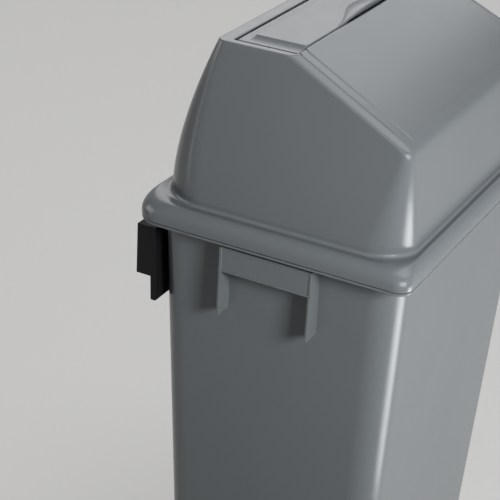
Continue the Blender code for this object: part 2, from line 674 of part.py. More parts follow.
clear_scene()
hanging_bin = bpy.data.objects.new("hanging_bin", None)
bpy.context.scene.collection.objects.link(hanging_bin)
hanging_bin.location = (0.0, RIM_MIDDLE_Y, RIM_Z)
grey_plastic = make_material("grey_plastic", GREY, 0.28, 0.0)
hood_plastic = make_material("hood_plastic", GREY, 0.25, 0.0)
flap_plastic = make_material("flap_plastic", GREY, 0.30, 0.0)
black_plastic = make_material("black_plastic", BLACK, 0.55, 0.0)
zinc_steel = make_material("zinc_steel", ZINC, 0.35, 1.0)
plug_plastic = make_material("plug_plastic", PLUG_GREY, 0.50, 0.0)
build_tub(grey_plastic, hanging_bin)
build_hood(hood_plastic, hanging_bin)
build_pins(zinc_steel, hanging_bin)
build_flap(flap_plastic, hanging_bin)
build_rail(black_plastic)
build_fixings(zinc_steel, plug_plastic)
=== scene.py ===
"""Looks of a wall-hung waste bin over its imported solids: grey moulded tub and hood, black rail, zinc screws."""

import math

import bmesh
import bpy
import numpy as np
from mathutils import Matrix, Vector


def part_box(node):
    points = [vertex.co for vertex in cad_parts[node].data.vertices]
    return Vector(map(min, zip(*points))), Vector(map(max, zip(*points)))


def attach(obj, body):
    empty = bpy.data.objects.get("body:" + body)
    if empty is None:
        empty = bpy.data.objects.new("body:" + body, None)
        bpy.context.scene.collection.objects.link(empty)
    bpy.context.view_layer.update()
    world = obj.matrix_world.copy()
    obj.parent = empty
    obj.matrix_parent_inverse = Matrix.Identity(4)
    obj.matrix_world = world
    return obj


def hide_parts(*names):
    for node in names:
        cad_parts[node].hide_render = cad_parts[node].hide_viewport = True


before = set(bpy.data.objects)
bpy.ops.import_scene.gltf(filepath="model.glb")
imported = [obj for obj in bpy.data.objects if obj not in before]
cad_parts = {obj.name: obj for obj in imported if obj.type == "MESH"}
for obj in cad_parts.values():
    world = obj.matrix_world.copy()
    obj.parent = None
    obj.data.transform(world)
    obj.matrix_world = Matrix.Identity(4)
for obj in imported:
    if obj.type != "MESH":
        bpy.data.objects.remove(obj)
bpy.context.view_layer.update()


# Wall plugs
# Four nylon plugs, pushed into holes drilled in the wall until their collars stop them. Each is one moulding,
# with saw-tooth rings that bite into the hole and two long grooves along which it spreads round the screw.

SHARP_ANGLE = math.radians(40)
PLUG_COLOUR = (0.30, 0.31, 0.32)
PLUG_BORE = 0.0028
PLUG_BODY = 0.0043
PLUG_COLLAR = 0.0055
PLUG_COLLAR_HEIGHT = 0.0012
PLUG_TOOTH = 0.0005
PLUG_TOOTH_PITCH = 0.004
PLUG_TEETH_FROM = 0.005
PLUG_GROOVE = 0.0008
PLUG_GROOVES_FROM = 0.004
PLUG_RUN_IN = 0.002
PLUG_TIP_TAPER = 0.0007
PLUG_TIP_SHARE = 0.2
PLUG_STEPS = 32


def quads(rows, columns, close_rows=False):
    """Faces of a grid that is closed round its columns: a point, the next in its row, and those two one row on."""
    row = np.arange(rows if close_rows else rows - 1)[:, None]
    column = np.arange(columns)[None, :]
    beside, beyond = (column + 1) % columns, (row + 1) % rows
    corners = row * columns + column, row * columns + beside, beyond * columns + beside, beyond * columns + column
    return np.stack(corners, -1).reshape(-1, 4).tolist()


def add_piece(name, points, faces, finish, body, nodes=()):
    """Makes a mesh of points and faces, turns its faces outwards, and lets it ride on a body of the frame."""
    mesh = bpy.data.meshes.new(name)
    mesh.from_pydata(points.reshape(-1, 3).tolist(), [], faces)
    bm = bmesh.new()
    bm.from_mesh(mesh)
    bmesh.ops.remove_doubles(bm, verts=bm.verts[:], dist=1e-6)
    bmesh.ops.recalc_face_normals(bm, faces=bm.faces[:])
    bm.to_mesh(mesh)
    bm.free()
    mesh.shade_smooth()
    mesh.set_sharp_from_angle(angle=SHARP_ANGLE)
    mesh.materials.append(finish)
    piece = bpy.data.objects.new(name, mesh)
    bpy.context.scene.collection.objects.link(piece)
    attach(piece, body)
    if nodes:
        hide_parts(*nodes)
    return piece


def smooth(share):
    """0 below 0 and 1 above 1, with the cubic 3s^2 - 2s^3 between."""
    share = np.clip(share, 0.0, 1.0)
    return share * share * (3.0 - 2.0 * share)


def turned(radius, along, steps):
    """A profile turned about the Y axis: (r sin t, along, r cos t). The radius may also change with t."""
    turn = np.linspace(0.0, math.tau, steps, endpoint=False)
    radius = np.broadcast_to(np.reshape(radius, (len(along), -1)), (len(along), steps))
    along = np.broadcast_to(np.asarray(along)[:, None], radius.shape)
    return np.stack([radius * np.sin(turn), along, radius * np.cos(turn)], -1)


def moulded_plastic(name, colour, roughness, ripple, drift=0.05, shine=0.5):
    """Moulded plastic. Its colour drifts a few per cent over a hand's breadth and its gloss a little faster, and
    the surface carries the faint ripple of the mould's polish under a fine grain."""
    finish = bpy.data.materials.new(name)
    finish.use_nodes = True
    nodes, links = finish.node_tree.nodes, finish.node_tree.links
    shader = nodes["Principled BSDF"]
    shader.inputs["Specular IOR Level"].default_value = shine
    place = nodes.new("ShaderNodeTexCoord")

    def cloud(scale, detail):
        noise = nodes.new("ShaderNodeTexNoise")
        noise.inputs["Scale"].default_value = scale
        noise.inputs["Detail"].default_value = detail
        links.new(place.outputs["Object"], noise.inputs["Vector"])
        return noise.outputs["Fac"]

    tint = nodes.new("ShaderNodeMix")
    tint.data_type = "RGBA"
    tint.inputs["A"].default_value = (*(c * (1 - drift) for c in colour), 1.0)
    tint.inputs["B"].default_value = (*(c * (1 + drift) for c in colour), 1.0)
    links.new(cloud(9.0, 3.0), tint.inputs["Factor"])
    links.new(tint.outputs["Result"], shader.inputs["Base Color"])
    gloss = nodes.new("ShaderNodeMapRange")
    gloss.inputs["From Min"].default_value = 0.3
    gloss.inputs["From Max"].default_value = 0.7
    gloss.inputs["To Min"].default_value = roughness * 0.9
    gloss.inputs["To Max"].default_value = roughness * 1.1
    links.new(cloud(60.0, 4.0), gloss.inputs["Value"])
    links.new(gloss.outputs["Result"], shader.inputs["Roughness"])
    before = None
    for scale, detail, strength in ((70.0, 1.0, ripple), (900.0, 2.0, ripple * 0.6)):
        bump = nodes.new("ShaderNodeBump")
        bump.inputs["Strength"].default_value = strength
        bump.inputs["Distance"].default_value = 0.15 / scale
        links.new(cloud(scale, detail), bump.inputs["Height"])
        if before:
            links.new(before, bump.inputs["Normal"])
        before = bump.outputs["Normal"]
    links.new(before, shader.inputs["Normal"])
    return finish


def wall_plug(low, high):
    """Collar, toothed body and tapered tip turned about the hole's axis, and back through the bore. Each tooth falls
    from full radius over its pitch, and the grooves follow cos^8 of the turn."""
    length = high.y - low.y
    step = PLUG_COLLAR_HEIGHT + 0.00001
    depth = np.concatenate([[0.0, PLUG_COLLAR_HEIGHT, step], np.linspace(PLUG_COLLAR_HEIGHT + 0.0001, length, 140)])
    tooth = (depth / PLUG_TOOTH_PITCH) % 1.0 * smooth((depth - PLUG_TEETH_FROM) / PLUG_RUN_IN)
    taper = smooth((depth - (1.0 - PLUG_TIP_SHARE) * length) / (PLUG_TIP_SHARE * length))
    body = PLUG_BODY - PLUG_TOOTH * tooth - PLUG_TIP_TAPER * taper
    outer = np.where(depth < step, PLUG_COLLAR, body)[:, None]
    turn = np.linspace(0.0, math.tau, PLUG_STEPS, endpoint=False)
    groove = PLUG_GROOVE * np.cos(turn) ** 8 * smooth((depth - PLUG_GROOVES_FROM) / PLUG_RUN_IN)[:, None]
    skin = turned(outer - groove, depth, PLUG_STEPS)
    bore = turned(PLUG_BORE + 0.0 * depth, depth[::-1], PLUG_STEPS)
    return np.concatenate([skin, bore]) + np.array(((low.x + high.x) / 2, low.y, (low.z + high.z) / 2))


plug_plastic = moulded_plastic("plug_plastic", PLUG_COLOUR, 0.5, 0.08)
for number in range(1, 5):
    points = wall_plug(*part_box(f"wall_plug_{number}"))
    faces = quads(*points.shape[:2], close_rows=True)
    add_piece(f"plug_{number}", points, faces, plug_plastic, "rail", [f"wall_plug_{number}"])


# Wall rail
# One long black moulding, screwed to the wall: a block cored out from behind, a plate that hangs down behind the tub,
# and a hook along the top that takes the tub's rim. Its corners have the small radii of a mould.

RAIL_COLOUR = (0.008, 0.008, 0.009)
RAIL_EDGE = 0.0012


def round_edges(piece, width):
    """Rounds a piece's sharp edges to a radius of that width."""
    edges = piece.modifiers.new("edges", "BEVEL")
    edges.width = width
    edges.segments = 3
    edges.limit_method = "ANGLE"
    edges.angle_limit = SHARP_ANGLE
    edges.harden_normals = True


rail_plastic = moulded_plastic("rail_plastic", RAIL_COLOUR, 0.5, 0.10, shine=0.15)
rail_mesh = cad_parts["wall_rail"].data.copy()
bm = bmesh.new()
bm.from_mesh(rail_mesh)
bmesh.ops.remove_doubles(bm, verts=bm.verts[:], dist=1e-6)
bmesh.ops.dissolve_limit(bm, angle_limit=math.radians(1), verts=bm.verts[:], edges=bm.edges[:])
bm.to_mesh(rail_mesh)
bm.free()
rail_mesh.shade_smooth()
rail_mesh.materials.clear()
rail_mesh.materials.append(rail_plastic)
rail = bpy.data.objects.new("hanging_rail", rail_mesh)
bpy.context.scene.collection.objects.link(rail)
round_edges(rail, RAIL_EDGE)
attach(rail, "rail")
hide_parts("wall_rail")


# Screws and washers
# Zinc-plated pan-head screws, each with a flat washer, sunk in the rail's stepped holes and driven into the plugs.
# Heads are cold formed with a cross recess, the thread is rolled and runs out under the head.

ZINC_COLOUR = (0.56, 0.57, 0.58)
SCREW_HEAD = 0.0048
SCREW_HEAD_HEIGHT = 0.0034
SCREW_FLAT = 0.0034
SCREW_CROWN_HEIGHT = 0.0018
SCREW_SHANK = 0.0025
SCREW_CORE = 0.0018
SCREW_PITCH = 0.0018
SCREW_THREAD_FROM = 0.014
SCREW_THREAD_RUN_IN = 0.003
SCREW_POINT = 0.006
SCREW_STEPS = 48
RECESS_REACH = 0.0025
RECESS_END = 0.0006
RECESS_WIDTH = 0.0006
RECESS_EDGE = 0.0003
RECESS_DEPTH = 0.0016
WASHER_BORE = 0.0028


def plated_zinc(name, colour):
    """Bright zinc plate: a metal whose tone and gloss drift with fine cloudy crystals, with drawing marks in relief."""
    finish = bpy.data.materials.new(name)
    finish.use_nodes = True
    nodes, links = finish.node_tree.nodes, finish.node_tree.links
    shader = nodes["Principled BSDF"]
    shader.inputs["Metallic"].default_value = 1.0
    place = nodes.new("ShaderNodeTexCoord")
    crystals = nodes.new("ShaderNodeTexNoise")
    crystals.inputs["Scale"].default_value = 700.0
    crystals.inputs["Detail"].default_value = 4.0
    links.new(place.outputs["Object"], crystals.inputs["Vector"])
    tint = nodes.new("ShaderNodeMix")
    tint.data_type = "RGBA"
    tint.inputs["A"].default_value = (*(c * 0.85 for c in colour), 1.0)
    tint.inputs["B"].default_value = (*(c * 1.1 for c in colour), 1.0)
    links.new(crystals.outputs["Fac"], tint.inputs["Factor"])
    links.new(tint.outputs["Result"], shader.inputs["Base Color"])
    gloss = nodes.new("ShaderNodeMapRange")
    gloss.inputs["To Min"].default_value = 0.22
    gloss.inputs["To Max"].default_value = 0.45
    links.new(crystals.outputs["Fac"], gloss.inputs["Value"])
    links.new(gloss.outputs["Result"], shader.inputs["Roughness"])
    marks = nodes.new("ShaderNodeBump")
    marks.inputs["Strength"].default_value = 0.1
    marks.inputs["Distance"].default_value = 0.0001
    links.new(crystals.outputs["Fac"], marks.inputs["Height"])
    links.new(marks.outputs["Normal"], shader.inputs["Normal"])
    return finish


def wall_screw(low, high):
    """Head, shank and point turned about the screw's axis. The thread's height is a triangle wave of the distance along
    less the turn, one pitch a turn, and the recess sinks the head where either cross axis is nearer than its width."""
    length = high.y - low.y
    turn = np.linspace(0.0, math.tau, SCREW_STEPS, endpoint=False)
    ring = np.linspace(0.0, SCREW_FLAT, 18)
    crown = np.linspace(0.0, math.pi / 2, 7)[1:]
    head_radius = np.concatenate([ring, SCREW_FLAT + (SCREW_HEAD - SCREW_FLAT) * np.sin(crown), [SCREW_HEAD]])
    head_along = np.concatenate([0 * ring, SCREW_CROWN_HEIGHT * (1 - np.cos(crown)), [SCREW_HEAD_HEIGHT]])
    across = np.minimum(np.abs(np.sin(turn)), np.abs(np.cos(turn))) * head_radius[:, None]
    recess = smooth((RECESS_WIDTH - across) / RECESS_EDGE + 0.5)
    recess = recess * smooth((RECESS_REACH - head_radius) / RECESS_END)[:, None]
    head = turned(head_radius, head_along, SCREW_STEPS)
    head[..., 1] += RECESS_DEPTH * recess
    along = np.linspace(SCREW_HEAD_HEIGHT, length, 260)
    wave = (along[:, None] / SCREW_PITCH - turn / math.tau) % 1.0
    crest = np.clip(1.0 - np.abs(wave - 0.5) / 0.3, 0.0, 1.0)
    cut = smooth((along - SCREW_THREAD_FROM) / SCREW_THREAD_RUN_IN)[:, None]
    shank = SCREW_SHANK - (SCREW_SHANK - SCREW_CORE) * cut * (1.0 - crest)
    point = np.clip((length - along) / SCREW_POINT, 0.0, 1.0)[:, None]
    points = np.concatenate([head, turned(shank * np.sqrt(point), along, SCREW_STEPS)])
    return points + np.array(((low.x + high.x) / 2, low.y, (low.z + high.z) / 2))


def washer(low, high):
    """A flat ring turned about the screw: its section is the rounded box |u|^8 + |v|^8 = 1 drawn through 32 points."""
    turn = np.linspace(0.0, math.tau, 32, endpoint=False)
    size = (np.cos(turn) ** 8 + np.sin(turn) ** 8) ** -0.125
    outer = (high.x - low.x) / 2
    radius = (outer + WASHER_BORE) / 2 + (outer - WASHER_BORE) / 2 * size * np.cos(turn)
    along = (high.y - low.y) / 2 * (1.0 + size * np.sin(turn))
    return turned(radius, along, SCREW_STEPS) + np.array(((low.x + high.x) / 2, low.y, (low.z + high.z) / 2))


screw_zinc = plated_zinc("screw_zinc", ZINC_COLOUR)
for number in range(1, 5):
    points = wall_screw(*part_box(f"wall_screw_{number}"))
    faces = quads(*points.shape[:2])
    add_piece(f"screw_{number}", points, faces, screw_zinc, "rail", [f"wall_screw_{number}"])
    points = washer(*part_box(f"screw_washer_{number}"))
    faces = quads(*points.shape[:2], close_rows=True)
    add_piece(f"washer_{number}", points, faces, screw_zinc, "rail", [f"screw_washer_{number}"])


# Tub
# The bin itself, one injection moulding in mid grey: a tapered wall with round corners, a recessed foot, and a rim
# folded out and down, which hooks over the rail and carries the hood on its outer bead.

GREY = (0.135, 0.149, 0.158)
RIM_MIDDLE = np.array((0.0, -0.173, 0.0505))
TUB_HALF, TUB_HALF_DRAFT = 0.214, 0.046
TUB_DEPTH, TUB_DEPTH_DRAFT = 0.147, 0.035
TUB_CORNER, TUB_CORNER_DRAFT = 0.033, 0.006
TUB_FOOT = -0.552
TUB_WALL = 0.003
TUB_FRONT_STOPS = np.array((0.004, 0.06))
RIM_HALF, RIM_DEPTH = 0.240, 0.165
RIM_FRONT_CORNER, RIM_REAR_CORNER = 0.017, 0.035
FLOOR_INSET = 0.030
FOOT_INSET = 0.024
FOOT_RECESS = 0.005
FLANGE_UNDER = 0.007
FLANGE_TOP = 0.010
LIP_OUT = 0.0045
LIP_IN = 0.0075
BEAD_SETBACK = 0.0005
BEAD_TOP = 0.0020
BEAD_BOTTOM = -0.0006
ARC_POINTS = 15
RUN_STOPS = np.array((0.012, 0.5, 0.988))
ROUND_STEPS = 8
ROUND_HOLD = 1.35


def tub_row(inset, z):
    """The tub's outline at a height, drawn in by inset: both half widths and the corner grow by a draft with height."""
    half = TUB_HALF + TUB_HALF_DRAFT * z - inset
    depth = TUB_DEPTH + TUB_DEPTH_DRAFT * z - inset
    radius = TUB_CORNER + TUB_CORNER_DRAFT * z - inset
    return half, -depth, depth, radius, radius, z, 0.0, 0.0, 1.0


def rim_row(inset, z):
    """The outline that tub and hood share, drawn in by inset, with tighter corners at the front."""
    half, depth = RIM_HALF - inset, RIM_DEPTH - inset
    return half, -depth, depth, RIM_FRONT_CORNER - inset, RIM_REAR_CORNER - inset, z, 0.0, 0.0, 1.0


def round_corners(rows, reaches):
    """Rounds the path that outlines follow. At a corner P the rows within reach of it give way to the parabola
    (1-u)^2 A + 2u(1-u) P + u^2 B, from A before the corner to B after it. One more row beyond each keeps flats flat."""
    for corner, reach in sorted(reaches.items(), reverse=True):
        way = np.concatenate([[0.0], np.cumsum(np.hypot(*np.diff(rows[:, (0, 5)], axis=0).T))])
        stops = way[corner] + reach * np.array((-ROUND_HOLD, -1.0, 1.0, ROUND_HOLD))
        held, first, last, kept = np.stack([np.interp(stops, way, column) for column in rows.T], -1)
        u = np.linspace(0.0, 1.0, ROUND_STEPS + 1)[:, None]
        curve = (1 - u) ** 2 * first + 2 * u * (1 - u) * rows[corner] + u ** 2 * last
        rows = np.concatenate([rows[way < stops[0]], held[None], curve, kept[None], rows[way > stops[-1]]])
    return rows


def rounded_outline(rows, front_stops):
    """Points of level rounded rectangles, anticlockwise: four quarter circles joined by straight runs, with stops along
    the front run at the given distances from where its corners end. The front quarters take sine and cosine to a power,
    1 for a circle and more for a flatter, chamfered corner."""
    half, front, rear, front_radius, rear_radius, z = rows.T[:6, :, None]
    chamfer, circle = rows[:, 8:9], 1.0 + 0.0 * half
    angle = np.linspace(0.0, math.pi / 2, ARC_POINTS)
    falling, rising = np.abs(np.cos(angle)), np.abs(np.sin(angle))
    arcs = []
    for side, edge, inward, radius, power in (
        (1, front, 1, front_radius, chamfer), (1, rear, -1, rear_radius, circle),
        (-1, rear, -1, rear_radius, circle), (-1, front, 1, front_radius, chamfer),
    ):
        across, along = (rising, falling) if side * inward > 0 else (falling, rising)
        x = side * (half - radius + radius * across ** power)
        y = edge + inward * (radius - radius * along ** power)
        arcs.append(np.stack([x, y, z + 0.0 * x], -1))
    plain = RUN_STOPS + 0.0 * half
    near = front_stops / (2 * (half - front_radius))
    shares = plain, plain, plain, np.concatenate([near, 0.5 + 0.0 * half, 1.0 - near[:, ::-1]], 1)
    ring = []
    for arc, following, share in zip(arcs, arcs[1:] + arcs[:1], shares):
        ring += [arc, arc[:, -1:] + (following[:, :1] - arc[:, -1:]) * share[..., None]]
    return np.concatenate(ring, 1)


def capped(rows, columns):
    """Faces of a grid of outlines, with its first and last outline filled."""
    return quads(rows, columns) + [list(range(columns)), list(range((rows - 1) * columns, rows * columns))]


tub_rows = round_corners(np.array([
    tub_row(FLOOR_INSET, TUB_FOOT + FOOT_RECESS),
    tub_row(FOOT_INSET, TUB_FOOT + FOOT_RECESS),
    tub_row(FOOT_INSET, TUB_FOOT),
    tub_row(0.0, TUB_FOOT),
    tub_row(0.0, FLANGE_UNDER),
    rim_row(LIP_IN, FLANGE_UNDER),
    rim_row(LIP_IN, BEAD_BOTTOM),
    rim_row(BEAD_SETBACK, BEAD_BOTTOM),
    rim_row(BEAD_SETBACK, BEAD_TOP),
    rim_row(LIP_OUT, BEAD_TOP),
    rim_row(LIP_OUT, FLANGE_TOP),
    tub_row(TUB_WALL, FLANGE_TOP),
    tub_row(TUB_WALL, TUB_FOOT + FOOT_RECESS + TUB_WALL),
    tub_row(FLOOR_INSET, TUB_FOOT + FOOT_RECESS + TUB_WALL),
]), {1: 0.001, 2: 0.0012, 3: 0.0115, 4: 0.0015, 5: 0.001, 6: 0.0007, 7: 0.0008, 8: 0.0008, 9: 0.0005, 10: 0.0045,
     11: 0.0011, 12: 0.0092})
grey_plastic = moulded_plastic("grey_plastic", GREY, 0.24, 0.035)
points = rounded_outline(tub_rows, TUB_FRONT_STOPS) + RIM_MIDDLE
add_piece("tub", points, capped(*points.shape[:2]), grey_plastic, "bin", ["bin_body"])


# Handles
# Moulded with the tub on both of its ends: a panel between two fins, open below, so that the hand reaches up behind the
# panel. The panel's lower edge is rolled to a smooth bead.

HANDLE_OUT = 0.2329
HANDLE_HALF = 0.0556
HANDLE_WALL = 0.003
HANDLE_TOP = -0.0062
HANDLE_PANEL_LOW = -0.0347
HANDLE_FIN_LOW = -0.0896
HANDLE_PANEL_SETBACK = 0.0008
HANDLE_ROOT = 0.0015
HANDLE_EDGE = 0.0007
HANDLE_BEAD = (0.0019, 0.0008)
HANDLE_BEAD_OVER = 0.0004
HANDLE_BEAD_END = 0.0008


def handle(side):
    """Corners and faces of one handle. The fins' fronts, the panel's front, the panel's back and the fins' roots in the
    tub are four upright layers, each crossed at the fins' outer and inner sides and at top, panel edge and fin foot."""
    outer, inner = HANDLE_HALF, HANDLE_HALF - HANDLE_WALL
    front, face, back = HANDLE_OUT, HANDLE_OUT - HANDLE_PANEL_SETBACK, HANDLE_OUT - HANDLE_WALL
    points, faces = [], []
    for turn in (-1, 1):
        fin = [(front, outer), (front, inner), (face, inner), (back, inner), (None, inner), (None, outer)]
        for z in (HANDLE_TOP, HANDLE_PANEL_LOW, HANDLE_FIN_LOW):
            root = TUB_HALF - HANDLE_ROOT + TUB_HALF_DRAFT * z
            points += [(side * (x or root), turn * y, z) for x, y in fin]
        start = 0 if turn < 0 else 18
        faces += [[start + n for n in face_corners] for face_corners in (
            (0, 5, 4, 3, 2, 1), (12, 13, 14, 15, 16, 17), (0, 1, 7, 13, 12, 6), (1, 2, 8, 7), (3, 4, 10, 16, 15, 9),
            (4, 5, 11, 17, 16, 10), (5, 0, 6, 12, 17, 11), (7, 8, 9, 15, 14, 13),
        )]
    faces += [(2, 20, 26, 8), (3, 9, 27, 21), (2, 3, 21, 20), (8, 26, 27, 9)]
    return np.array(points) + RIM_MIDDLE, faces


def handle_bead(side):
    """A bar along the panel's lower edge whose section is the rounded box |u|^4 + |v|^4 = 1, drawn in at both ends."""
    turn = np.linspace(0.0, math.tau, 24, endpoint=False)
    size = (np.cos(turn) ** 4 + np.sin(turn) ** 4) ** -0.25
    end = np.linspace(0.0, math.pi / 2, 6)
    reach = HANDLE_HALF + HANDLE_BEAD_OVER - HANDLE_BEAD_END * (1 - np.sin(end))
    along = np.concatenate([-reach, reach[::-1]])[:, None]
    swell = 0.5 + 0.5 * np.concatenate([np.cos(end[::-1]), np.cos(end)])[:, None]
    wide, high = HANDLE_BEAD
    x = side * (HANDLE_OUT - HANDLE_WALL / 2 + wide * swell * size * np.cos(turn))
    z = HANDLE_PANEL_LOW + high * swell * size * np.sin(turn)
    return np.stack([x, along + 0.0 * x, z], -1) + RIM_MIDDLE


for name, side in (("left", -1), ("right", 1)):
    points, faces = handle(side)
    piece = add_piece("handle_" + name, points, faces, grey_plastic, "bin")
    round_edges(piece, HANDLE_EDGE)
    points = handle_bead(side)
    add_piece("handle_bead_" + name, points, capped(*points.shape[:2]), grey_plastic, "bin")


# Hood
# The lid that sits on the tub's rim and lifts off it, moulded in the same grey: a round rim, walls that curl in towards
# the top, a sloping front with a raised panel, and the framed mouth that the flap closes.

HOOD_TOP = 0.208
HOOD_WALL = 0.0028
HOOD_CREASE = 0.023
HOOD_LOW = 0.0034
HOOD_RIM_EDGE = 0.0060
RIM_FULLNESS = 0.8
RIM_TOP = 0.0256
RIM_GROOVE = 0.0034
RIM_GROOVE_FROM = 0.45
HOOD_HALF, HOOD_END_CURL = 0.2155, 0.0240
HOOD_REAR, HOOD_REAR_FOOT, HOOD_REAR_CURL = 0.137, 0.0146, 0.0422
HOOD_CURL_POWER = 1.65
HOOD_FRONT, HOOD_FRONT_LEAN = 0.147, 0.041
HOOD_FRONT_TOP = 0.1395
HOOD_FRONT_BLEND = 0.008
HOOD_FRONT_CORNER, HOOD_FRONT_CORNER_FALL = 0.046, 0.0356
HOOD_REAR_CORNER, HOOD_REAR_CORNER_FALL = 0.060, 0.048
HOOD_FACET, HOOD_FACET_RUN_IN = 0.4, 0.012
HOOD_RIDGE = 0.0012
HOOD_EDGE = 0.002
HOOD_RUN = HOOD_RIDGE + HOOD_FRONT - HOOD_FRONT_LEAN * (HOOD_FRONT_TOP - HOOD_CREASE)
HOOD_FALL = (HOOD_TOP - HOOD_FRONT_TOP) / HOOD_RUN
MOUTH_HALF = 0.1812
MOUTH_FRONT = 0.0032
MOUTH_REAR = 0.0788
MOUTH_DEPTH = 0.0139
MOUTH_SEAT = 0.005
MOUTH_CORNER = 0.003
FRAME_THICKNESS = 0.005
PANEL_LOW = 0.1465
PANEL_STEP = 0.0026
PANEL_RISE = 0.0011
PANEL_FROM_CORNER = 0.0163
CREASE_LINE = 0.0011
CREASE_WIDTH = 0.0010
CREASE_DEPTH = 0.0012


def hood_rows(z, inset=0.0, rounding=0.0):
    """Outlines of the hood. Ends and rear curl in by a power of the height, and the rear also leans. The front is the
    larger of an upright wall and a slope, blended by (a + b + hypot(a - b, c)) / 2, and the corners shrink with height.
    The next two columns are the slope's outward direction, up and forward, times the share of the raised panel that has
    been reached, and the last flattens the corners beside the slope."""
    z = np.atleast_1d(z)
    rise = (z - HOOD_CREASE) / (HOOD_TOP - HOOD_CREASE)
    curl = np.clip(rise, 0.0, None) ** HOOD_CURL_POWER
    wall = -HOOD_FRONT + HOOD_FRONT_LEAN * (z - HOOD_CREASE) + inset
    slope = HOOD_RIDGE - (HOOD_TOP - z) / HOOD_FALL + inset * math.hypot(1.0, 1.0 / HOOD_FALL)
    front = (wall + slope + np.hypot(wall - slope, HOOD_FRONT_BLEND)) / 2
    upright = np.clip((z - HOOD_CREASE) / (HOOD_FRONT_TOP - HOOD_CREASE), 0.0, 1.0)
    panel = smooth((z - PANEL_LOW + PANEL_STEP) / PANEL_STEP)
    lean = math.atan(HOOD_FALL)
    columns = (
        HOOD_HALF - HOOD_END_CURL * curl - inset - rounding,
        front,
        HOOD_REAR + HOOD_REAR_FOOT * (1.0 - rise) - HOOD_REAR_CURL * curl - inset - rounding,
        np.maximum(HOOD_FRONT_CORNER - HOOD_FRONT_CORNER_FALL * upright - inset, HOOD_WALL),
        np.maximum(HOOD_REAR_CORNER - HOOD_REAR_CORNER_FALL * rise - inset - rounding, HOOD_WALL),
        z,
        math.cos(lean) * panel,
        -math.sin(lean) * panel,
        1.0 + HOOD_FACET * smooth((z - HOOD_FRONT_TOP) / HOOD_FACET_RUN_IN + 0.5),
    )
    return np.stack(np.broadcast_arrays(*columns), -1)


def hood_rim_rows(inset):
    """The rim from its lower edge over a full quarter round to the foot of the wall: drawn in by 1 - c and raised by s,
    where c and s are cosine and sine to a power below 1, which fills out the round. Along the wall it dips into a
    groove by a smooth step of the share drawn in."""
    turn = np.linspace(0.0, math.pi / 2, 60)[:, None]
    out, up = np.abs(np.cos(turn)) ** RIM_FULLNESS, np.sin(turn) ** RIM_FULLNESS
    groove = RIM_GROOVE * smooth((1.0 - out - RIM_GROOVE_FROM) / (1.0 - RIM_GROOVE_FROM))
    foot = hood_rows(RIM_TOP - RIM_GROOVE - inset, inset)
    rows = np.array(rim_row(inset, 0.0)) * out + foot * (1 - out)
    rows[:, 5:6] = HOOD_RIM_EDGE + (RIM_TOP - inset - HOOD_RIM_EDGE) * up - groove
    return rows


def mouth_row(inset, z, panel=0.0):
    """The mouth's outline, drawn in by inset, raised with the panel where that runs out on the frame."""
    up = math.cos(math.atan(HOOD_FALL)) * panel
    return MOUTH_HALF - inset, MOUTH_FRONT + inset, MOUTH_REAR - inset, MOUTH_CORNER, MOUTH_CORNER, z, up, 0.0, 1.0


seat = HOOD_TOP - MOUTH_DEPTH
outer_heights = np.linspace(HOOD_CREASE, HOOD_TOP - HOOD_EDGE, 122)[1:-1]
turn = np.linspace(0.0, math.pi / 2, 9)
outer = [
    [rim_row(HOOD_WALL / 2, HOOD_LOW)],
    [rim_row(0.0, HOOD_LOW)],
    hood_rim_rows(0.0),
    hood_rows(outer_heights),
    hood_rows(HOOD_TOP - HOOD_EDGE * (1 - np.sin(turn)), 0.0, HOOD_EDGE * (1 - np.cos(turn))),
    [mouth_row(0.0, HOOD_TOP, 1.0)],
    [mouth_row(0.0, seat), mouth_row(MOUTH_SEAT, seat), mouth_row(MOUTH_SEAT, seat - HOOD_WALL)],
    [mouth_row(-HOOD_WALL, seat - HOOD_WALL), mouth_row(-HOOD_WALL, HOOD_TOP - FRAME_THICKNESS)],
    hood_rows(HOOD_TOP - FRAME_THICKNESS, HOOD_WALL),
    hood_rows(outer_heights[outer_heights < HOOD_TOP - FRAME_THICKNESS - 0.001][::-3], HOOD_WALL),
    hood_rim_rows(HOOD_WALL)[::-1],
    [rim_row(HOOD_WALL, HOOD_LOW)],
]
starts = np.cumsum([0] + [len(part) for part in outer])
hood_path = round_corners(np.concatenate(outer), {
    1: 0.0007, starts[3] - 1: 0.0050, starts[5]: 0.0012, starts[6]: 0.001, starts[6] + 1: 0.0008, starts[6] + 2: 0.0008,
    starts[7]: 0.001, starts[7] + 1: 0.001, starts[8]: 0.0015, starts[10]: 0.003, starts[11]: 0.0007,
})
front_stops = np.concatenate([
    CREASE_LINE + CREASE_WIDTH * np.linspace(-1.0, 1.0, 9), [0.004, 0.010],
    PANEL_FROM_CORNER - PANEL_STEP * np.linspace(1.15, -0.15, 9), [0.030, 0.080],
])
panel = smooth((front_stops - PANEL_FROM_CORNER + PANEL_STEP) / PANEL_STEP)
crease = smooth(1.0 - np.abs(front_stops - CREASE_LINE) / CREASE_WIDTH)
lift = PANEL_RISE * panel - CREASE_DEPTH * crease
points = rounded_outline(hood_path, front_stops)
lifts = np.concatenate([np.zeros(points.shape[1] - 2 * len(lift) - 1), lift, [PANEL_RISE], lift[::-1]])
points[..., 2] += hood_path[:, 6:7] * lifts
points[..., 1] += hood_path[:, 7:8] * lifts
hood_plastic = moulded_plastic("hood_plastic", GREY, 0.22, 0.03)
faces = quads(*points.shape[:2], close_rows=True)
add_piece("lid_hood", points + RIM_MIDDLE, faces, hood_plastic, "hood", ["hood"])


# Hinge pins
# Two drawn steel pins, knurled at one end and pressed there into bosses inside the hood. Their plain ends stand into
# the flap's barrel.

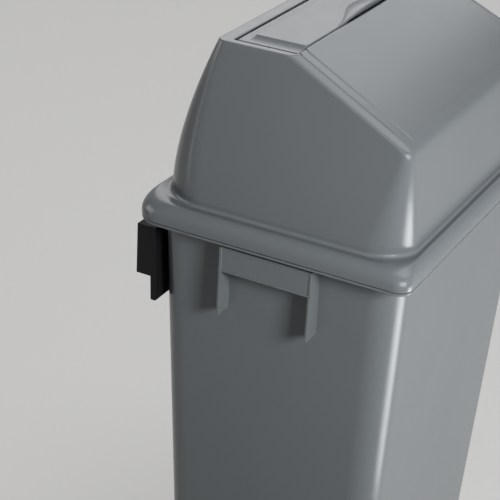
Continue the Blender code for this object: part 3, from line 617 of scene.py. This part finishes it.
PIN_COLOUR = (0.56, 0.57, 0.58)
PIN_CHAMFER = 0.0004
PIN_STEPS = 96
KNURL_FLUTES = 24
KNURL_DEPTH = 0.04
KNURL_FROM = 0.66
BOSS_RADIUS = 0.00465
BOSS_LENGTH = 0.0058
BOSS_ROUND = 0.001
HINGE_Y, HINGE_Z = 0.07115, 0.20155
HINGE = RIM_MIDDLE + np.array((0.0, HINGE_Y, HINGE_Z))


def hinge_pin(low, high, side):
    """A pin turned about the hinge: both ends chamfered, with a knurl of shallow flutes over its outer third."""
    radius = (high.z - low.z) / 2
    length = high.x - low.x
    along = np.concatenate([[0.0, 0.0, PIN_CHAMFER], np.linspace(0.001, length - 0.001, 40),
                            [length - PIN_CHAMFER, length, length]])
    ends = np.concatenate([[0.0, radius - PIN_CHAMFER], radius * np.ones(42), [radius - PIN_CHAMFER, 0.0]])
    turn = np.linspace(0.0, math.tau, PIN_STEPS, endpoint=False)
    pressed = smooth((along - KNURL_FROM * length) / 0.0005)[:, None]
    flutes = 1.0 - KNURL_DEPTH * pressed * (0.5 + 0.5 * np.cos(KNURL_FLUTES * turn))
    points = turned(ends[:, None] * flutes, along, PIN_STEPS)[..., (1, 0, 2)]
    points[..., 0] = np.where(side > 0, low.x + points[..., 0], high.x - points[..., 0])
    return points + np.array((0.0, HINGE[1], HINGE[2]))


def pin_boss(side):
    """A blind boss round the pin's pressed end, turned about the hinge, with a rounded closed end."""
    turn = np.linspace(0.0, math.pi / 2, 6)
    along = np.concatenate([[0.0, 0.0], BOSS_LENGTH - BOSS_ROUND * (1 - np.sin(turn)), [BOSS_LENGTH]])
    radius = np.concatenate([[0.0, BOSS_RADIUS], BOSS_RADIUS - BOSS_ROUND * (1 - np.cos(turn)), [0.0]])
    points = turned(radius, along, 32)[..., (1, 0, 2)]
    points[..., 0] = side * (MOUTH_HALF + HOOD_WALL / 2 + points[..., 0])
    return points + HINGE * np.array((0.0, 1.0, 1.0))


pin_steel = plated_zinc("pin_steel", PIN_COLOUR)
for name, side in (("left", -1), ("right", 1)):
    node = "flap_hinge_pin_" + name
    points = hinge_pin(*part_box(node), side)
    add_piece("hinge_pin_" + name, points, quads(*points.shape[:2]), pin_steel, "hood", [node])
    points = pin_boss(side)
    add_piece("pin_boss_" + name, points, quads(*points.shape[:2]), hood_plastic, "hood")


# Flap
# The lid of the mouth, moulded in the same grey: a raised plateau inside a flat margin, a finger lip along the front, a
# barrel at the rear that turns on the pins, and a skirt round the underside.

FLAP_HALF = 0.1780
FLAP_FRONT = 0.0042
FLAP_REAR = 0.0757
FLAP_LEVEL = 0.2075
FLAP_SKIN = 0.0025
FLAP_SKIRT = 0.003
FLAP_SKIRT_LOW = 0.1944
FLAP_RISE = 0.0032
FLAP_STEP = 0.0028
FLAP_END_SWEEP = 0.0142
FLAP_PLATEAU_HALF = 0.1732
FLAP_PLATEAU_REAR = 0.0658
FLAP_EDGE = 0.0008
LIP_RISE = 0.0056
LIP_HALF = 0.002
LIP_FLARE = 0.093
LIP_DEPTH = 0.0223
LIP_EDGE = 0.0025
LIP_LEAST = 0.0003
FLAP_FIELD = 0.0560
FLAP_MARGIN = 0.0670
FLAP_UNDER_FRONT = 0.012
FLAP_MIDDLE = 0.156
SLOT_SHARE = 0.35
SLOT_DEPTH = 0.004
PIN_BORE = 0.00215
BORE_DEPTH = 0.0125
BARREL_FRONT = 0.008
BARREL_TURN = 150.0


def flap_lip(x):
    """The finger lip's share of its full rise along the flap: 1 in the middle, falling smoothly to 0 over the flare."""
    return 1.0 - smooth((np.abs(x) - LIP_HALF) / LIP_FLARE)


def lip_depth(x):
    """How far back the lip's bell-shaped crease lies from the front edge: the lip's share to the power 5/4."""
    return LIP_DEPTH * flap_lip(x) ** 1.25 + 0.0005


def flap_top(x, y):
    """Height of the upper face: the margin, the plateau, and the finger lip. The plateau rises by a smooth step at the
    rear and by a hollow sweep, a power of the distance, at the ends. From its crease to the front edge, s = 0 to 1, the
    lip climbs as s(2 - s). The ends fall away as a quarter circle of the edge radius."""
    sweep = np.clip((FLAP_PLATEAU_HALF - np.abs(x)) / FLAP_END_SWEEP, 0.0, 1.0) ** 1.6
    plateau = sweep * smooth((FLAP_PLATEAU_REAR - y) / FLAP_STEP)
    climb = np.clip(1.0 - (y - FLAP_FRONT) / lip_depth(x), 0.0, 1.0)
    lip = flap_lip(x) * climb * (2.0 - climb)
    near = np.clip(1.0 - (FLAP_HALF - np.abs(x)) / FLAP_EDGE, 0.0, 1.0)
    return FLAP_LEVEL + FLAP_RISE * plateau + LIP_RISE * lip - FLAP_EDGE * (1.0 - np.sqrt(1.0 - near ** 2))


def flap_sections(x):
    """Closed outlines of the flap at places along it: up the front, back over the top, down the rear, round the barrel,
    and forward along the underside, which is solid down to the skirt at both ends. Behind the lip the skirt steps back,
    so that fingers find the lip's lower edge."""
    x = x[:, None]
    turn = np.linspace(0.0, math.pi / 2, 6)
    step = FLAP_PLATEAU_REAR - FLAP_STEP * np.linspace(1.1, -0.1, 10)
    crease = np.clip(lip_depth(x) - FLAP_EDGE, LIP_LEAST, None)
    top_y = FLAP_FRONT + FLAP_EDGE + np.concatenate([
        crease * np.linspace(0.06, 1.0, 15),
        crease + (FLAP_FIELD - crease) * np.linspace(0.0, 1.0, 32)[1:],
        step - FLAP_FRONT - FLAP_EDGE + 0.0 * x,
        np.linspace(FLAP_MARGIN, FLAP_REAR - FLAP_EDGE, 6) - FLAP_FRONT - FLAP_EDGE + 0.0 * x,
    ], 1)
    slot = smooth(flap_lip(x) / SLOT_SHARE)
    low = FLAP_SKIRT_LOW + (flap_top(x, FLAP_FRONT) - LIP_EDGE - FLAP_SKIRT_LOW) * slot
    front_y = FLAP_FRONT + FLAP_EDGE * (1.0 - np.cos(turn))
    front_z = flap_top(x, front_y) - FLAP_EDGE * (1.0 - np.sin(turn))
    rear_y = FLAP_REAR - FLAP_EDGE * (1.0 - np.sin(turn[1:]))
    rear_z = flap_top(x, rear_y) - FLAP_EDGE * (1.0 - np.cos(turn[1:]))
    round_the_pin = np.radians(np.linspace(0.0, -BARREL_TURN, 19))
    barrel = FLAP_REAR - HINGE_Y
    skirt_back = FLAP_FRONT + SLOT_DEPTH + FLAP_SKIRT
    under_y = np.append(np.linspace(HINGE_Y - BARREL_FRONT, FLAP_UNDER_FRONT, 40), skirt_back)
    solid = np.abs(x) > FLAP_HALF - FLAP_SKIRT - 0.0001
    under_z = np.where(solid, FLAP_SKIRT_LOW, flap_top(x, under_y) - FLAP_SKIN)
    skirt_y = FLAP_FRONT + SLOT_DEPTH + np.array((FLAP_SKIRT, 0.0))
    pairs = (
        (FLAP_FRONT, low), (front_y, front_z), (top_y, flap_top(x, top_y)), (rear_y, rear_z),
        (HINGE_Y + barrel * np.cos(round_the_pin), HINGE_Z + barrel * np.sin(round_the_pin)),
        (under_y, under_z), (skirt_y, FLAP_SKIRT_LOW), (FLAP_FRONT + SLOT_DEPTH, low),
    )
    pairs = [np.broadcast_arrays(y + 0.0 * x, z + 0.0 * x) for y, z in pairs]
    y, z = (np.concatenate(side, 1) for side in zip(*pairs))
    return np.stack([x + 0.0 * y, y, z], -1)


def pin_bore(end, side):
    """Two rings for the blind bore in an end of the flap: the end's own outline drawn in to the bore's radius round the
    hinge, so that the two match point for point, first at the bore's bottom and then at the end."""
    around = end - np.array((end[0, 0], HINGE_Y, HINGE_Z))
    ring = end - around + around * PIN_BORE / np.linalg.norm(around, axis=1, keepdims=True)
    return np.stack([ring - np.array((side * BORE_DEPTH, 0.0, 0.0)), ring])


ends = FLAP_HALF - np.concatenate([FLAP_EDGE * (1 - np.cos(np.linspace(0.0, math.pi / 2, 6))), [0.002, 0.003, 0.0033]])
sweep = FLAP_PLATEAU_HALF - FLAP_END_SWEEP * np.append(np.linspace(0.0, 1.0, 16), 1.03)
places = np.concatenate([ends, sweep, np.linspace(FLAP_MIDDLE, 0.0, 72)])
points = flap_sections(np.concatenate([places, -places[-2::-1]]))
points = np.concatenate([pin_bore(points[0], 1), points, pin_bore(points[-1], -1)[::-1]])
flap_plastic = moulded_plastic("flap_plastic", GREY, 0.245, 0.02)
faces = capped(*points.shape[:2])
add_piece("mouth_flap", points + RIM_MIDDLE, faces, flap_plastic, "flap", ["flap"])


# Studio
# A pale floor in a pale room, lit by softboxes: a key lamp at the left of the front, a wide panel on the right for the
# sheen on flap and slope, low lamps for the front and its corner, two behind, and one overhead, which alone lights the
# floor.

FLOOR_Z = -0.5035
FLOOR_REACH = 14.0
FLOOR_COLOUR = (0.66, 0.66, 0.65)
FLOOR_GLOW = 0.42
ROOM_COLOUR = (0.95, 0.97, 1.0)
ROOM_LIGHT = 0.055
ROOM_SEEN = 0.55


def seen_strength(tree, dim, bright):
    """A strength that is bright for rays from the camera or off a gloss or through a glass, and dim for light itself:
    the largest of the three flags, mapped from 0 and 1 to dim and bright."""
    rays = tree.nodes.new("ShaderNodeLightPath")
    seen = rays.outputs["Is Camera Ray"]
    for flag in ("Is Glossy Ray", "Is Transmission Ray"):
        either = tree.nodes.new("ShaderNodeMath")
        either.operation = "MAXIMUM"
        tree.links.new(seen, either.inputs[0])
        tree.links.new(rays.outputs[flag], either.inputs[1])
        seen = either.outputs["Value"]
    strength = tree.nodes.new("ShaderNodeMapRange")
    strength.inputs["To Min"].default_value = dim
    strength.inputs["To Max"].default_value = bright
    tree.links.new(seen, strength.inputs["Value"])
    return strength.outputs["Result"]


floor_points = np.array([(x, y, FLOOR_Z) for x in (-FLOOR_REACH, FLOOR_REACH) for y in (-FLOOR_REACH, FLOOR_REACH)])
floor_mesh = bpy.data.meshes.new("floor")
floor_mesh.from_pydata(floor_points.tolist(), [], [(0, 2, 3, 1)])
floor_paint = moulded_plastic("floor_paint", FLOOR_COLOUR, 0.7, 0.02, 0.01)
floor_shader = floor_paint.node_tree.nodes["Principled BSDF"]
floor_shader.inputs["Emission Color"].default_value = (1.0, 0.99, 0.97, 1.0)
floor_paint.node_tree.links.new(seen_strength(floor_paint.node_tree, 0.0, FLOOR_GLOW),
                                floor_shader.inputs["Emission Strength"])
floor_mesh.materials.append(floor_paint)
floor = bpy.data.objects.new("floor", floor_mesh)
bpy.context.scene.collection.objects.link(floor)
floor_left_out = bpy.data.collections.new("floor_left_out")
floor_left_out.objects.link(floor)
floor_left_out.collection_objects[0].light_linking.link_state = "EXCLUDE"


def softbox(name, place, aim, width, height, watts, shade=True, sheen=True, on_floor=False, spread=180.0):
    """A rectangular lamp at a place, turned to face a point, that the camera itself doesn't see. It gives shade, a
    sheen or both, may leave the floor out, and may keep its light to a beam, whose spread is in degrees."""
    lamp = bpy.data.lights.new(name, "AREA")
    lamp.shape = "RECTANGLE"
    lamp.size, lamp.size_y = width, height
    lamp.energy = watts
    lamp.spread = math.radians(spread)
    made = bpy.data.objects.new(name, lamp)
    bpy.context.scene.collection.objects.link(made)
    made.location = place
    made.rotation_euler = (Vector(aim) - Vector(place)).to_track_quat("-Z", "Y").to_euler()
    made.visible_camera = False
    made.visible_diffuse, made.visible_glossy = shade, sheen
    if not on_floor:
        made.light_linking.receiver_collection = floor_left_out


softbox("key_softbox", (-0.82, -1.21, 0.53), (-0.2, -0.2, 0.0), 0.35, 0.35, 20.5, sheen=False)
softbox("key_sheen", (-0.82, -1.21, 0.53), (-0.2, -0.2, 0.0), 0.7, 0.7, 12.0, shade=False)
softbox("right_panel", (1.78, 0.64, 1.3), (0.0, -0.1, 0.2), 2.2, 1.2, 12.5)
softbox("low_strip", (0.35, -1.0, -0.30), (-0.1, -0.33, -0.10), 1.1, 0.35, 6.0, sheen=False)
softbox("corner_strip", (-0.06, -0.72, -0.31), (-0.21, -0.31, -0.10), 0.36, 0.42, 0.28, shade=False, spread=46.0)
softbox("rear_softbox", (-0.7, 1.9, 0.7), (0.0, -0.1, 0.0), 1.4, 1.0, 9.0)
softbox("rear_strip", (-1.04, 1.27, -0.12), (-0.2, -0.05, 0.12), 0.12, 0.7, 0.45, shade=False)
softbox("overhead_softbox", (0.65, -0.65, 2.2), (-0.1, -0.17, 0.1), 1.7, 1.2, 13.0, on_floor=True)

world = bpy.data.worlds.new("room")
bpy.context.scene.world = world
world.use_nodes = True
room = world.node_tree.nodes["Background"]
room.inputs["Color"].default_value = (*ROOM_COLOUR, 1.0)
world.node_tree.links.new(seen_strength(world.node_tree, ROOM_LIGHT, ROOM_SEEN), room.inputs["Strength"])
bpy.context.scene.view_settings.view_transform = "Standard"


# Camera
# A long lens that looks down on the hood and along the end with the handle, tipped a little, as the photograph was
# taken.

VIEW_AZIMUTH = math.radians(-63.3)
VIEW_ELEVATION = math.radians(26.98)
VIEW_ROLL = math.radians(3.49)
VIEW_DISTANCE = 1.58286
VIEW_SHIFT = (-0.01291, 0.00785)
VIEW_CENTRE = Vector((-0.240, -0.173, 0.0505))
VIEW_LENS, VIEW_SENSOR = 108.24, 36.0

back = Vector((math.sin(VIEW_AZIMUTH) * math.cos(VIEW_ELEVATION),
               -math.cos(VIEW_AZIMUTH) * math.cos(VIEW_ELEVATION), math.sin(VIEW_ELEVATION)))
level = Vector((math.cos(VIEW_AZIMUTH), math.sin(VIEW_AZIMUTH), 0.0))
upright = back.cross(level)
right = math.cos(VIEW_ROLL) * level + math.sin(VIEW_ROLL) * upright
up = math.cos(VIEW_ROLL) * upright - math.sin(VIEW_ROLL) * level
lens = bpy.data.cameras.new("camera")
lens.sensor_width = VIEW_SENSOR
lens.lens = VIEW_LENS
camera = bpy.data.objects.new("camera", lens)
bpy.context.scene.collection.objects.link(camera)
place = VIEW_CENTRE + back * VIEW_DISTANCE + right * VIEW_SHIFT[0] + up * VIEW_SHIFT[1]
camera.matrix_world = Matrix((right, up, back)).transposed().to_4x4()
camera.location = place
bpy.context.scene.camera = camera
